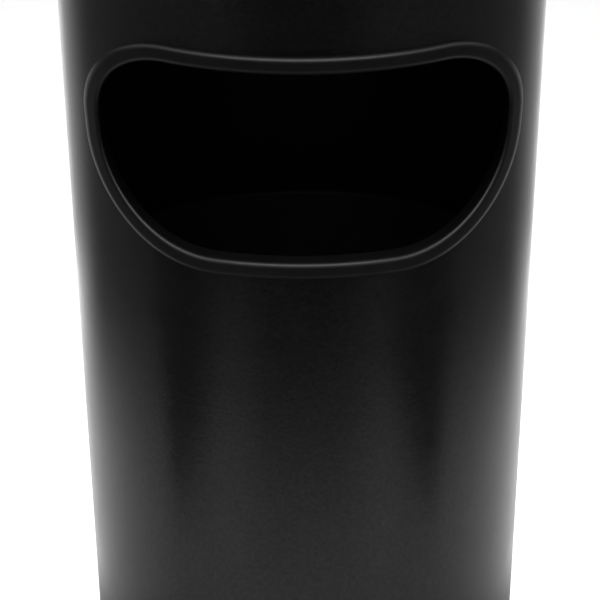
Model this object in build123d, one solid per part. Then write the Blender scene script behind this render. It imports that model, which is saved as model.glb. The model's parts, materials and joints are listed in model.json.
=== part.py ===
"""A freestanding ashtray bin.

A tapered round sheet-steel shell stands on a rubber foot ring. Its front has one wide opening, edged by a
moulded rubber trim, through which litter drops into an enamelled liner bucket. A head with an ash bowl, a
perforated stub grid and a stubber ring sits on the shell's upper edge and lifts off, so that the liner
comes out by its bail handle.

Frame: +Z up, origin on the floor at the centre of the foot ring, the opening faces -Y. Millimetres.
"""
from build123d import *
import os
from math import degrees, pi

FIT_GAP = 0.05  # between pieces that are fixed to each other
RUNNING_GAP = 0.08  # radial clearance of what turns on the handle's wire
REST_GAP = 0.3  # between pieces that only stand on each other

# --- Shell -----------------------------------------------------------------------------------------------
SHELL_TOP = 630.0  # height of the shell's upper edge
SHELL_TOP_RADIUS = 150.0  # outside radius at that edge
SHELL_BOTTOM = 4.0  # the lower edge stands inside the foot ring
TAPER = 0.0353  # radius lost for each millimetre down, about 2 degrees a side
SHEET = 1.5

# --- Opening, drawn square on to the front ---------------------------------------------------------------
OPENING_TOP = 535.5
OPENING_BOTTOM = 420.0
OPENING_TOP_HALF_WIDTH = 121.5  # to the corners before they are rounded
OPENING_BOTTOM_HALF_WIDTH = 112.0
OPENING_TOP_DIP = 6.4  # the upper edge hangs this much lower at its middle
OPENING_BOTTOM_SAG = 3.5  # the lower edge hangs this much lower at its middle
OPENING_TOP_CORNER = 39.0
OPENING_BOTTOM_CORNER = 66.0
TRIM_FACE = 10.0  # width of the trim's face, seen from the front
TRIM_WALL = 3.0  # thickness of the trim where it passes through the sheet
TRIM_PROUD = 4.5  # how far the face stands off the shell
TRIM_DEPTH = 11.0  # how far the throat reaches in behind the sheet
TRIM_LIP = 7.0  # width of the lip that grips the sheet from behind
TRIM_LIP_THICKNESS = 2.5
TRIM_EDGE_GAP = 0.5  # between the trim's throat and the cut edge of the sheet

# --- Foot ring and base pan ------------------------------------------------------------------------------
FOOT_HEIGHT = 15.0
FOOT_WALL = 3.0
FOOT_ROUND = 1.4
PAN_BOTTOM = 12.0  # underside of the base pan
PAN_FLANGE_TOP = 32.0
PAN_SHEET = 2.0
PAN_BEND = 3.0  # inside radius of the pressed corner
ANCHOR_PCD = 150.0  # circle of the floor anchor holes
ANCHOR_COUNT = 4
ANCHOR_RADIUS = 4.5
BASE_RIVET_COUNT = 8
BASE_RIVET_HEIGHT = 24.0

# --- Rivets ----------------------------------------------------------------------------------------------
RIVET_RADIUS = 2.0
RIVET_HEAD_RADIUS = 4.0
RIVET_HEAD = 1.4
RIVET_STAND_OFF = 0.2  # a flat head meets a curved sheet only at its middle

# --- Liner bucket ----------------------------------------------------------------------------------------
LINER_BOTTOM = 24.0
LINER_TOP = 394.0
LINER_TOP_RADIUS = 104.0
LINER_BOTTOM_RADIUS = 98.0
LINER_SHEET = 1.0
LINER_BEAD = 3.0  # radius of the rolled rim
LINER_FLOOR = 30.0  # underside of the liner's floor
SUPPORT_COUNT = 3  # rubber pads under the liner, and guides between them
FIRST_PAD = 90.0  # degrees from +X
FIRST_GUIDE = 270.0
PAD_RADIUS = 10.0
PAD_ROUND = 1.5
GUIDE_WIDTH = 22.0
GUIDE_TOP = 62.0
GUIDE_FLARE = 8.0  # length of the guide's bent-out tip
GUIDE_FOOT = 16.0
GUIDE_CLEARANCE = 3.0

# --- Bail handle -----------------------------------------------------------------------------------------
PIVOT_HEIGHT = 370.0
STORED_ANGLE = 22.0  # the stored handle hangs this far below level, behind the liner
WIRE_RADIUS = 2.5
WIRE_START = 106.0  # the wire's ends inside the ears
BAIL_HALF_WIDTH = 118.0
BAIL_SHOULDER = 60.0  # where the legs turn in, measured from the pivots
BAIL_REACH = 121.0  # from the pivots to the grip
BAIL_CROSS_HALF = 50.0  # half of the stretch that carries the grip, before its bends
PIVOT_BEND = 5.0
SHOULDER_BEND = 60.0
CROSS_BEND = 36.0
GRIP_HALF_LENGTH = 33.0
GRIP_RADIUS = 8.0
GRIP_ROUND = 2.5
EAR_HALF_WIDTH = 17.0
EAR_HALF_HEIGHT = 12.0
EAR_CORNER = 6.0
EAR_SHEET = 2.0
EAR_RIVET_OFFSET = 11.5  # from the pivot, around the liner
BOSS_RADIUS = 6.5
BOSS_START = 105.0
BOSS_END = 112.0

# --- Head ------------------------------------------------------------------------------------------------
COLLAR_TOP = 645.0
COLLAR_RADIUS = 154.5
COLLAR_SHEET = 3.0
COLLAR_SKIRT_BOTTOM = 612.0
COLLAR_SHOULDER_ROUND = 9.0
COLLAR_CROWN_RADIUS = 142.0  # where the crown meets the slope down to the bowl
COLLAR_CROWN_ROUND = 6.0
COLLAR_EDGE_ROUND = 1.0
RING_RADIUS = 144.5  # outside of the locating ring's leg
RING_SHEET = 2.0
RING_BOTTOM = 600.0
GASKET_THICKNESS = 2.0
BOWL_SEAT = 636.0  # height of the ledge that carries the bowl's flange
BOWL_SEAT_RADIUS = 122.0
BOWL_OPENING_RADIUS = 111.0
BOWL_SHEET = 1.2
BOWL_FLANGE_RADIUS = 121.0
BOWL_RADIUS = 108.0
BOWL_LEDGE = 621.0  # step inside the bowl that carries the grid
BOWL_LEDGE_RADIUS = 101.0
BOWL_FLOOR = 583.0
BOWL_FLOOR_RADIUS = 84.0
BOWL_FLOOR_ROUND = 8.8

# --- Stub grid -------------------------------------------------------------------------------------------
GRID_SHEET = 1.5
GRID_RADIUS = 106.0
GRID_HOLE_RADIUS = 4.75
GRID_FIRST_RING = 46.0  # radius of the innermost ring of holes
GRID_RING_STEP = 16.2
GRID_RINGS = 4
GRID_HOLE_PITCH = 17.8  # along a ring
STUBBER_INNER_RADIUS = 15.0
STUBBER_OUTER_RADIUS = 35.0
STUBBER_HEIGHT = 6.0
STUBBER_RIDGES = 5
STUBBER_RIDGE_HEIGHT = 2.0
KNOB_RADIUS = 11.0
KNOB_HEIGHT = 15.0
KNOB_NECK_RADIUS = 6.0
KNOB_FOOT = 2.0
KNOB_FOOT_SLOPE = 2.0
KNOB_HEAD = 5.0
KNOB_HEAD_SLOPE = 3.0
KNOB_ROUND = 3.0
KNOB_EDGE_ROUND = 0.8
KNOB_ROOF = 4.0  # solid above the stud
STUD_RADIUS = 3.0
STUD_TAIL = 2.0  # below the nut
NUT_HALF_FLATS = 5.0
NUT_THICKNESS = 5.0

GRID_BOTTOM = BOWL_LEDGE + REST_GAP
GRID_TOP = GRID_BOTTOM + GRID_SHEET + FIT_GAP
PAN_TOP = PAN_BOTTOM + PAN_SHEET
UPWARDS = (Align.CENTER, Align.CENTER, Align.MIN)
ALONG_X = Rot(0, 90, 0)


def shell_radius(height):
    """Outside radius of the shell at a height."""
    return SHELL_TOP_RADIUS - TAPER * (SHELL_TOP - height)


def liner_radius(height):
    """Outside radius of the liner's wall at a height."""
    share = (height - LINER_BOTTOM) / (LINER_TOP - LINER_BOTTOM)
    return LINER_BOTTOM_RADIUS + share * (LINER_TOP_RADIUS - LINER_BOTTOM_RADIUS)


def turned(outline, rounds=()):
    """Solid of revolution of a closed (radius, height) outline. rounds pairs corners with their radii."""
    profile = make_face(Polyline(*outline, close=True))
    for corner, radius in rounds:
        nearest = profile.vertices().sort_by_distance(Vector(*corner))[0]
        profile = fillet(nearest, radius)
    return revolve(Plane.XZ * profile, Axis.Z)


def tapered_ring(radius_at, inner, outer, bottom, top):
    """A ring that follows a tapered wall, between two offsets from its outside face."""
    low, high = radius_at(bottom), radius_at(top)
    return turned([(low + inner, bottom), (low + outer, bottom), (high + outer, top), (high + inner, top)])


def disc(radius, thickness, height=0.0):
    """A flat disc about Z, standing at a height."""
    return Pos(0, 0, height) * Cylinder(radius, thickness, align=UPWARDS)


def rod_along_x(radius, start, end):
    return Pos(start, 0, 0) * ALONG_X * Cylinder(radius, end - start, align=UPWARDS)


def around(count, start=0.0):
    """Placements spaced evenly about Z, the first at an angle in degrees from +X."""
    return [Rot(0, 0, start + 360.0 * i / count) for i in range(count)]


def opening_prism(margin):
    """The opening's outline, grown by a margin and pushed out through the front of the shell."""
    top_left, top_right = (-OPENING_TOP_HALF_WIDTH, OPENING_TOP), (OPENING_TOP_HALF_WIDTH, OPENING_TOP)
    top_middle = (0, OPENING_TOP - OPENING_TOP_DIP)
    low_corner = OPENING_BOTTOM + OPENING_BOTTOM_SAG
    low_left, low_right = (-OPENING_BOTTOM_HALF_WIDTH, low_corner), (OPENING_BOTTOM_HALF_WIDTH, low_corner)
    low_middle = (0, OPENING_BOTTOM)
    edges = [
        ThreePointArc(top_left, top_middle, top_right),
        Line(top_right, low_right),
        ThreePointArc(low_right, low_middle, low_left),
        Line(low_left, top_left),
    ]
    outline = make_face(edges)
    outline = fillet(outline.vertices().group_by(Axis.Y)[-1], OPENING_TOP_CORNER)
    outline = fillet(outline.vertices().group_by(Axis.Y)[0], OPENING_BOTTOM_CORNER)
    if margin:
        outline = offset(outline, margin)
    return extrude(Plane.XZ * outline, COLLAR_RADIUS)


def rivet(grip):
    """A rivet along +X. Its shank crosses the grip from x = 0, with a domed head at each end."""
    dome_radius = (RIVET_HEAD_RADIUS**2 + RIVET_HEAD**2) / (2 * RIVET_HEAD)
    dome = Pos(0, 0, RIVET_HEAD - dome_radius) * Sphere(dome_radius)
    head = dome & disc(RIVET_HEAD_RADIUS, RIVET_HEAD)
    outside = Pos(grip, 0, 0) * ALONG_X * head
    inside = Rot(0, -90, 0) * head
    return rod_along_x(RIVET_RADIUS, 0, grip) + outside + inside


def rivet_group(places, sheets):
    """Rivets through sheets of a total thickness. A place is where the sheets begin, with +X outwards."""
    grip = sheets + 2 * RIVET_STAND_OFF
    return Compound(children=[place * Pos(-RIVET_STAND_OFF, 0, 0) * rivet(grip) for place in places])


def rivet_holes(places):
    reach = 2 * RIVET_HEAD_RADIUS
    return [place * rod_along_x(RIVET_RADIUS + FIT_GAP, -reach, reach) for place in places]


# --- Shell pieces ----------------------------------------------------------------------------------------
def base_rivet_places():
    start = shell_radius(BASE_RIVET_HEIGHT) - SHEET - FIT_GAP - PAN_SHEET
    half_step = 180.0 / BASE_RIVET_COUNT
    return [turn * Pos(start, 0, BASE_RIVET_HEIGHT) for turn in around(BASE_RIVET_COUNT, half_step)]


def outer_shell():
    sheet = tapered_ring(shell_radius, -SHEET, 0, SHELL_BOTTOM, SHELL_TOP)
    return sheet - opening_prism(TRIM_WALL + TRIM_EDGE_GAP) - rivet_holes(base_rivet_places())


def aperture_trim():
    """An H-section moulding: a face outside, a throat through the sheet, and a lip behind it."""
    bottom, top = OPENING_BOTTOM - 2 * TRIM_FACE, OPENING_TOP + 2 * TRIM_FACE

    def flange(inner, outer, width):
        return tapered_ring(shell_radius, inner, outer, bottom, top) & opening_prism(width)

    behind = -SHEET - FIT_GAP
    face = flange(FIT_GAP, TRIM_PROUD, TRIM_FACE)
    throat = flange(-SHEET - TRIM_DEPTH, TRIM_PROUD, TRIM_WALL)
    lip = flange(behind - TRIM_LIP_THICKNESS, behind, TRIM_LIP)
    return face + throat + lip - opening_prism(0)


def base_pan():
    """A pressed pan: a flat floor with an upturned flange that follows the shell's taper."""
    outside = -SHEET - FIT_GAP
    low, high = shell_radius(PAN_BOTTOM) + outside, shell_radius(PAN_FLANGE_TOP) + outside
    inner_corner = (shell_radius(PAN_TOP) + outside - PAN_SHEET, PAN_TOP)
    pan = turned(
        [
            (0, PAN_BOTTOM),
            (low, PAN_BOTTOM),
            (high, PAN_FLANGE_TOP),
            (high - PAN_SHEET, PAN_FLANGE_TOP),
            inner_corner,
            (0, PAN_TOP),
        ],
        rounds=[((low, PAN_BOTTOM), PAN_BEND + PAN_SHEET), (inner_corner, PAN_BEND)],
    )
    hole = Pos(ANCHOR_PCD / 2, 0, 0) * disc(ANCHOR_RADIUS, PAN_FLANGE_TOP)
    anchor_holes = [turn * hole for turn in around(ANCHOR_COUNT, 180.0 / ANCHOR_COUNT)]
    return pan - anchor_holes - rivet_holes(base_rivet_places())


def base_rivets():
    return rivet_group(base_rivet_places(), PAN_SHEET + FIT_GAP + SHEET)


def foot_ring():
    """A U-section rubber ring pressed on to the shell's lower edge, with the pan on its inner leg."""
    leg_top = PAN_BOTTOM - FIT_GAP
    inside, outside = -SHEET - FIT_GAP, FIT_GAP
    lowest, groove = shell_radius(0), shell_radius(SHELL_BOTTOM)
    leg, highest = shell_radius(leg_top), shell_radius(FOOT_HEIGHT)
    outer_low, outer_high = (lowest + outside + FOOT_WALL, 0), (highest + outside + FOOT_WALL, FOOT_HEIGHT)
    return turned(
        [
            (lowest + inside - FOOT_WALL, 0),
            outer_low,
            outer_high,
            (highest + outside, FOOT_HEIGHT),
            (groove + outside, SHELL_BOTTOM),
            (groove + inside, SHELL_BOTTOM),
            (leg + inside, leg_top),
            (leg + inside - FOOT_WALL, leg_top),
        ],
        rounds=[(outer_low, FOOT_ROUND), (outer_high, FOOT_ROUND)],
    )


def liner_pads():
    """Rubber buttons on the pan that the liner's lower edge stands on."""
    pad = disc(PAD_RADIUS, LINER_BOTTOM - REST_GAP - PAN_TOP, PAN_TOP)
    pad = fillet(pad.edges().group_by(Axis.Z)[-1], PAD_ROUND)
    place = Pos(LINER_BOTTOM_RADIUS - LINER_SHEET, 0, 0)
    return Compound(children=[turn * place * pad for turn in around(SUPPORT_COUNT, FIRST_PAD)])


def liner_guides():
    """Bent steel tabs, welded to the pan between the pads, that centre the liner as it goes down."""
    near = LINER_BOTTOM_RADIUS + GUIDE_CLEARANCE
    knee = GUIDE_TOP - GUIDE_FLARE
    tip = near + GUIDE_FLARE / 2
    outline = Polyline(
        (near, PAN_TOP),
        (near + GUIDE_FOOT, PAN_TOP),
        (near + GUIDE_FOOT, PAN_TOP + PAN_SHEET),
        (near + PAN_SHEET, PAN_TOP + PAN_SHEET),
        (near + PAN_SHEET, knee),
        (tip + PAN_SHEET, GUIDE_TOP),
        (tip, GUIDE_TOP),
        (near, knee),
        close=True,
    )
    guide = extrude(Plane.XZ * make_face(outline), GUIDE_WIDTH / 2, both=True)
    return Compound(children=[turn * guide for turn in around(SUPPORT_COUNT, FIRST_GUIDE)])


# --- Liner pieces ----------------------------------------------------------------------------------------
def ear_rivet_places(side):
    """The rivets of one ear, at an angle about Z."""
    start = liner_radius(PIVOT_HEIGHT) - LINER_SHEET
    turn = degrees(EAR_RIVET_OFFSET / start)
    return [Rot(0, 0, side + sign * turn) * Pos(start, 0, PIVOT_HEIGHT) for sign in (-1, 1)]


def liner_wall():
    """A tapered wall whose upper edge is rolled outwards over a wire."""
    bead_height = LINER_TOP - LINER_BEAD
    wall = tapered_ring(liner_radius, -LINER_SHEET, 0, LINER_BOTTOM, bead_height)
    bead = Torus(liner_radius(bead_height) - LINER_SHEET + LINER_BEAD, LINER_BEAD)
    return wall + Pos(0, 0, bead_height) * bead - rivet_holes(ear_rivet_places(0) + ear_rivet_places(180))


def liner_base():
    """The liner's floor, a pressed disc whose rim turns down inside the wall."""
    rim = liner_radius(LINER_BOTTOM) - LINER_SHEET - FIT_GAP
    rim_bottom = LINER_BOTTOM + REST_GAP
    return turned(
        [
            (0, LINER_FLOOR),
            (rim - LINER_SHEET, LINER_FLOOR),
            (rim - LINER_SHEET, rim_bottom),
            (rim, rim_bottom),
            (rim, LINER_FLOOR + LINER_SHEET),
            (0, LINER_FLOOR + LINER_SHEET),
        ]
    )


def handle_ear(side):
    """A plate that hugs the liner's wall, with a boss bored for the end of the handle's wire."""
    low, high = PIVOT_HEIGHT - EAR_HALF_HEIGHT, PIVOT_HEIGHT + EAR_HALF_HEIGHT
    band = tapered_ring(liner_radius, FIT_GAP, EAR_SHEET, low, high)
    window = extrude(RectangleRounded(2 * EAR_HALF_HEIGHT, 2 * EAR_HALF_WIDTH, EAR_CORNER), BOSS_END)
    plate = band & Pos(0, 0, PIVOT_HEIGHT) * ALONG_X * window
    boss = rod_along_x(BOSS_RADIUS, BOSS_START, BOSS_END)
    bore = rod_along_x(WIRE_RADIUS + RUNNING_GAP, BOSS_START, 2 * BOSS_END)
    ear = plate + Pos(0, 0, PIVOT_HEIGHT) * boss - Pos(0, 0, PIVOT_HEIGHT) * bore
    return Rot(0, 0, side) * (ear - rivet_holes(ear_rivet_places(0)))


def ear_rivets(side):
    return rivet_group(ear_rivet_places(side), LINER_SHEET + EAR_SHEET)


def stored_handle():
    """The handle's own frame as it hangs: X along the pivots, Y towards the grip."""
    return Pos(0, 0, PIVOT_HEIGHT) * Rot(-STORED_ANGLE, 0, 0)


def bail_handle():
    """A bent wire: a pin into each ear, two legs round the liner's rim, and a cross stretch."""
    right = [
        (WIRE_START, 0),
        (BAIL_HALF_WIDTH, 0),
        (BAIL_HALF_WIDTH, BAIL_SHOULDER),
        (BAIL_CROSS_HALF, BAIL_REACH),
    ]
    left = [(-x, y) for x, y in reversed(right)]
    bends = [PIVOT_BEND, SHOULDER_BEND, CROSS_BEND]
    path = FilletPolyline(*right, *left, radius=bends + bends[::-1])
    section = Pos(WIRE_START, 0, 0) * ALONG_X * Circle(WIRE_RADIUS)
    return stored_handle() * sweep(section, path=path)


def handle_grip():
    """A moulded tube that turns freely on the wire."""
    tube = Cylinder(GRIP_RADIUS, 2 * GRIP_HALF_LENGTH)
    tube = fillet(tube.edges().filter_by(GeomType.CIRCLE), GRIP_ROUND)
    tube = tube - Cylinder(WIRE_RADIUS + RUNNING_GAP, 2 * GRIP_HALF_LENGTH)
    return stored_handle() * Pos(0, BAIL_REACH, 0) * ALONG_X * tube


# --- Head pieces -----------------------------------------------------------------------------------------
def head_collar():
    """A pressed ring: a skirt outside the shell, a rounded crown, and a ledge that carries the bowl."""
    shoulder = (COLLAR_RADIUS, COLLAR_TOP)
    crown = (COLLAR_CROWN_RADIUS, COLLAR_TOP)
    lip_height = COLLAR_TOP - COLLAR_SHEET
    inner_shoulder = (COLLAR_RADIUS - COLLAR_SHEET, lip_height)
    return turned(
        [
            (COLLAR_RADIUS - COLLAR_SHEET, COLLAR_SKIRT_BOTTOM),
            (COLLAR_RADIUS, COLLAR_SKIRT_BOTTOM),
            shoulder,
            crown,
            (BOWL_SEAT_RADIUS, lip_height),
            (BOWL_SEAT_RADIUS, BOWL_SEAT),
            (BOWL_OPENING_RADIUS, BOWL_SEAT),
            (BOWL_OPENING_RADIUS, BOWL_SEAT - COLLAR_SHEET),
            (BOWL_SEAT_RADIUS + COLLAR_SHEET, BOWL_SEAT - COLLAR_SHEET),
            (BOWL_SEAT_RADIUS + COLLAR_SHEET, lip_height - COLLAR_SHEET),
            (COLLAR_CROWN_RADIUS, lip_height),
            inner_shoulder,
        ],
        rounds=[
            (shoulder, COLLAR_SHOULDER_ROUND),
            (crown, COLLAR_CROWN_ROUND),
            (inner_shoulder, COLLAR_SHOULDER_ROUND - COLLAR_SHEET),
            ((BOWL_SEAT_RADIUS, lip_height), COLLAR_EDGE_ROUND),
            ((COLLAR_RADIUS, COLLAR_SKIRT_BOTTOM), COLLAR_EDGE_ROUND),
            ((BOWL_OPENING_RADIUS, BOWL_SEAT), COLLAR_EDGE_ROUND),
        ],
    )


def locating_ring():
    """A T-section ring welded under the crown: a leg inside the shell, and a flange over its edge."""
    leg_inside, top = RING_RADIUS - RING_SHEET, COLLAR_TOP - COLLAR_SHEET - FIT_GAP
    flange_outside = COLLAR_RADIUS - COLLAR_SHEET - FIT_GAP
    flange_bottom = SHELL_TOP + REST_GAP + GASKET_THICKNESS
    return turned(
        [
            (leg_inside, RING_BOTTOM),
            (RING_RADIUS, RING_BOTTOM),
            (RING_RADIUS, flange_bottom),
            (flange_outside, flange_bottom),
            (flange_outside, flange_bottom + RING_SHEET),
            (RING_RADIUS, flange_bottom + RING_SHEET),
            (RING_RADIUS, top),
            (leg_inside, top),
        ]
    )


def collar_gasket():
    """A flat rubber ring glued under the locating ring's flange, on the shell's upper edge."""
    inner, outer = RING_RADIUS + REST_GAP, COLLAR_RADIUS - COLLAR_SHEET - REST_GAP
    height = SHELL_TOP + REST_GAP
    return disc(outer, GASKET_THICKNESS, height) - disc(inner, GASKET_THICKNESS, height)


def ash_bowl():
    """A deep-drawn bowl with a flange that hangs on the collar and a step that carries the grid."""
    flange = BOWL_SEAT + REST_GAP
    floor_outside = (BOWL_FLOOR_RADIUS, BOWL_FLOOR)
    floor_inside = (BOWL_FLOOR_RADIUS - BOWL_SHEET, BOWL_FLOOR + BOWL_SHEET)
    return turned(
        [
            (0, BOWL_FLOOR),
            floor_outside,
            (BOWL_LEDGE_RADIUS + BOWL_SHEET, BOWL_LEDGE - BOWL_SHEET),
            (BOWL_RADIUS + BOWL_SHEET, BOWL_LEDGE - BOWL_SHEET),
            (BOWL_RADIUS + BOWL_SHEET, flange),
            (BOWL_FLANGE_RADIUS, flange),
            (BOWL_FLANGE_RADIUS, flange + BOWL_SHEET),
            (BOWL_RADIUS, flange + BOWL_SHEET),
            (BOWL_RADIUS, BOWL_LEDGE),
            (BOWL_LEDGE_RADIUS, BOWL_LEDGE),
            floor_inside,
            (0, BOWL_FLOOR + BOWL_SHEET),
        ],
        rounds=[
            (floor_outside, BOWL_FLOOR_ROUND + BOWL_SHEET),
            (floor_inside, BOWL_FLOOR_ROUND),
            ((BOWL_RADIUS, flange + BOWL_SHEET), BOWL_SHEET),
        ],
    )


def stub_grid():
    """A round plate with rings of holes, and one hole in the middle for the knob's stud."""
    cutter = disc(GRID_HOLE_RADIUS, 2 * GRID_SHEET, GRID_BOTTOM - GRID_SHEET / 2)
    holes = [disc(STUD_RADIUS + FIT_GAP, 2 * GRID_SHEET, GRID_BOTTOM - GRID_SHEET / 2)]
    for i in range(GRID_RINGS):
        radius = GRID_FIRST_RING + i * GRID_RING_STEP
        count = round(2 * pi * radius / GRID_HOLE_PITCH)
        holes += [turn * Pos(radius, 0, 0) * cutter for turn in around(count)]
    return disc(GRID_RADIUS, GRID_SHEET, GRID_BOTTOM) - holes


def stubber_ring():
    """A cast ring with concentric ridges to put cigarettes out on."""
    valley = GRID_TOP + STUBBER_HEIGHT - STUBBER_RIDGE_HEIGHT
    pitch = (STUBBER_OUTER_RADIUS - STUBBER_INNER_RADIUS) / STUBBER_RIDGES
    inner, outer = STUBBER_INNER_RADIUS, STUBBER_OUTER_RADIUS
    outline = [(inner, GRID_TOP), (outer, GRID_TOP), (outer, valley)]
    for i in range(STUBBER_RIDGES):
        crest = outer - (i + 0.5) * pitch
        outline += [(crest, GRID_TOP + STUBBER_HEIGHT), (crest - pitch / 2, valley)]
    return turned(outline)


def grid_knob():
    """A turned knob on the grid's stud, to lift the grid out by."""
    bore, top = STUD_RADIUS + FIT_GAP, GRID_TOP + KNOB_HEIGHT
    head = top - KNOB_HEAD
    foot = GRID_TOP + KNOB_FOOT
    return turned(
        [
            (bore, GRID_TOP),
            (KNOB_RADIUS, GRID_TOP),
            (KNOB_RADIUS, foot),
            (KNOB_NECK_RADIUS, foot + KNOB_FOOT_SLOPE),
            (KNOB_NECK_RADIUS, head - KNOB_HEAD_SLOPE),
            (KNOB_RADIUS, head),
            (KNOB_RADIUS, top),
            (0, top),
            (0, top - KNOB_ROOF),
            (bore, top - KNOB_ROOF),
        ],
        rounds=[
            ((KNOB_RADIUS, top), KNOB_ROUND),
            ((KNOB_RADIUS, head), KNOB_EDGE_ROUND),
            ((KNOB_RADIUS, foot), KNOB_EDGE_ROUND),
        ],
    )


def knob_stud():
    """The threaded stud from inside the knob down through the grid and its nut."""
    bottom = GRID_BOTTOM - NUT_THICKNESS - STUD_TAIL
    top = GRID_TOP + KNOB_HEIGHT - KNOB_ROOF - FIT_GAP
    return disc(STUD_RADIUS, top - bottom, bottom)


def knob_nut():
    hexagon = RegularPolygon(NUT_HALF_FLATS, 6, major_radius=False) - Circle(STUD_RADIUS + FIT_GAP)
    return Pos(0, 0, GRID_BOTTOM - FIT_GAP - NUT_THICKNESS) * extrude(hexagon, NUT_THICKNESS)


def main():
    pieces = {
        "outer_shell": outer_shell(),
        "aperture_trim": aperture_trim(),
        "base_pan": base_pan(),
        "base_rivets": base_rivets(),
        "foot_ring": foot_ring(),
        "liner_pads": liner_pads(),
        "liner_guides": liner_guides(),
        "liner_wall": liner_wall(),
        "liner_base": liner_base(),
        "handle_ear_right": handle_ear(0),
        "handle_ear_left": handle_ear(180),
        "ear_rivets_right": ear_rivets(0),
        "ear_rivets_left": ear_rivets(180),
        "bail_handle": bail_handle(),
        "handle_grip": handle_grip(),
        "head_collar": head_collar(),
        "locating_ring": locating_ring(),
        "collar_gasket": collar_gasket(),
        "ash_bowl": ash_bowl(),
        "stub_grid": stub_grid(),
        "stubber_ring": stubber_ring(),
        "grid_knob": grid_knob(),
        "knob_stud": knob_stud(),
        "knob_nut": knob_nut(),
    }
    os.makedirs("parts", exist_ok=True)
    for name, piece in pieces.items():
        export_step(piece, f"parts/{name}.step")


main()
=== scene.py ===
"""The looks of a freestanding ashtray bin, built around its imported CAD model.

The frame is the CAD's: +Z up, the floor at zero, the litter opening facing -Y. Outlines are in millimetres,
and every mesh is scaled to metres as it is made.
"""
import json
import math

import bmesh
import bpy
from mathutils import Matrix, Vector

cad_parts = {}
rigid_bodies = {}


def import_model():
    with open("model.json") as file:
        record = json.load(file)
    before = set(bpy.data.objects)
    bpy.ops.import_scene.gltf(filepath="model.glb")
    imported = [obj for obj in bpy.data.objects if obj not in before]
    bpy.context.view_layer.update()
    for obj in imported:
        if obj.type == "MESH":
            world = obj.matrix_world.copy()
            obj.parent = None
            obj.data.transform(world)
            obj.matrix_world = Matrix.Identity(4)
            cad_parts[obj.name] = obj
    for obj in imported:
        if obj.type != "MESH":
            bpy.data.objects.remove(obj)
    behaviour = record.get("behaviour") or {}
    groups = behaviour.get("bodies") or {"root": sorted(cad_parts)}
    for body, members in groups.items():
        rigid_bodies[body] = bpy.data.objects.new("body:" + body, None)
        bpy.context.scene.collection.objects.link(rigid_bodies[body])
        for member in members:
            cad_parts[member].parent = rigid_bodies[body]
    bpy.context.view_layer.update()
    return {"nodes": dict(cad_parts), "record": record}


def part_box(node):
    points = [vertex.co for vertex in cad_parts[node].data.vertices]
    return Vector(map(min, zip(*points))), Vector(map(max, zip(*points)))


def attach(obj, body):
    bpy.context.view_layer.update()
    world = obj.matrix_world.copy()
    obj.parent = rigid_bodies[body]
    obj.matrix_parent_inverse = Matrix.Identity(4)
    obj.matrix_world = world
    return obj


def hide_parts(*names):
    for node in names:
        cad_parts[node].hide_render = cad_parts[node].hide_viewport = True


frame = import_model()

MM = 0.001
TINY = 1e-6


def box_mm(node):
    """Lowest and highest corner of a CAD node in millimetres."""
    low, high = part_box(node)
    return low / MM, high / MM


# --- Sizes ------------------------------------------------------------------------------------------------
SHELL_LOW, SHELL_HIGH = box_mm("outer_shell")
SHELL_BOTTOM = SHELL_LOW.z
SHELL_TOP = SHELL_HIGH.z
SHELL_TOP_RADIUS = SHELL_HIGH.x
TAPER = 0.0353  # radius lost for each millimetre down
SHEET = 1.5

TRIM_FACE = 10.0  # width of the trim's face, seen from the front
TRIM_WALL = 3.0
TRIM_PROUD = 4.5
TRIM_DEPTH = 11.0
TRIM_LIP = 7.0
TRIM_LIP_THICKNESS = 2.5
TRIM_EDGE_GAP = 0.5
OPENING_TOP_DIP = 6.4  # the upper edge hangs this much lower at its middle
OPENING_BOTTOM_SAG = 3.5  # the lower edge hangs this much lower at its middle
OPENING_BOTTOM = box_mm("aperture_trim")[0].z + TRIM_FACE
OPENING_TOP = 535.5
OPENING_TOP_HALF_WIDTH = 121.5
OPENING_BOTTOM_HALF_WIDTH = 112.0
OPENING_TOP_CORNER = 39.0
OPENING_BOTTOM_CORNER = 66.0

FIT_GAP = 0.05
RUNNING_GAP = 0.08
REST_GAP = 0.3
SEAM_TOP = 600.0
SEAM_WIDTH = 5.0
SEAM_HEIGHT = 0.5
SEAM_SUNK = 0.1  # how far the bead's sides lie inside the sheet
SEAM_SWELLS = ((0.18, 2.3), (0.12, 5.1))  # share and pace of the bead's uneven width
FOOT_HEIGHT = box_mm("foot_ring")[1].z
FOOT_WALL = 3.0
FOOT_GROOVE = 0.8
PAN_BOTTOM = box_mm("base_pan")[0].z
PAN_SHEET = 2.0
PAN_TOP = PAN_BOTTOM + PAN_SHEET
PAD_RADIUS = 10.0
PAD_PLACE = 97.0
PAD_RIM = 3.5
PAD_DISH = 0.8
BASE_RIVET_HEIGHT = 24.0
RIVET_RADIUS = 2.0
RIVET_HEAD_RADIUS = 4.0
RIVET_HEAD = 1.4
RIVET_RIM = 0.55
RIVET_CROWN_RADIUS = 2.2
RIVET_DIMPLE_RADIUS = 1.25
RIVET_DIMPLE = 0.45
RIVET_TAIL_RADIUS = 3.1
RIVET_TAIL_TIP_RADIUS = 1.3
RIVET_STAND_OFF = 0.2

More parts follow.
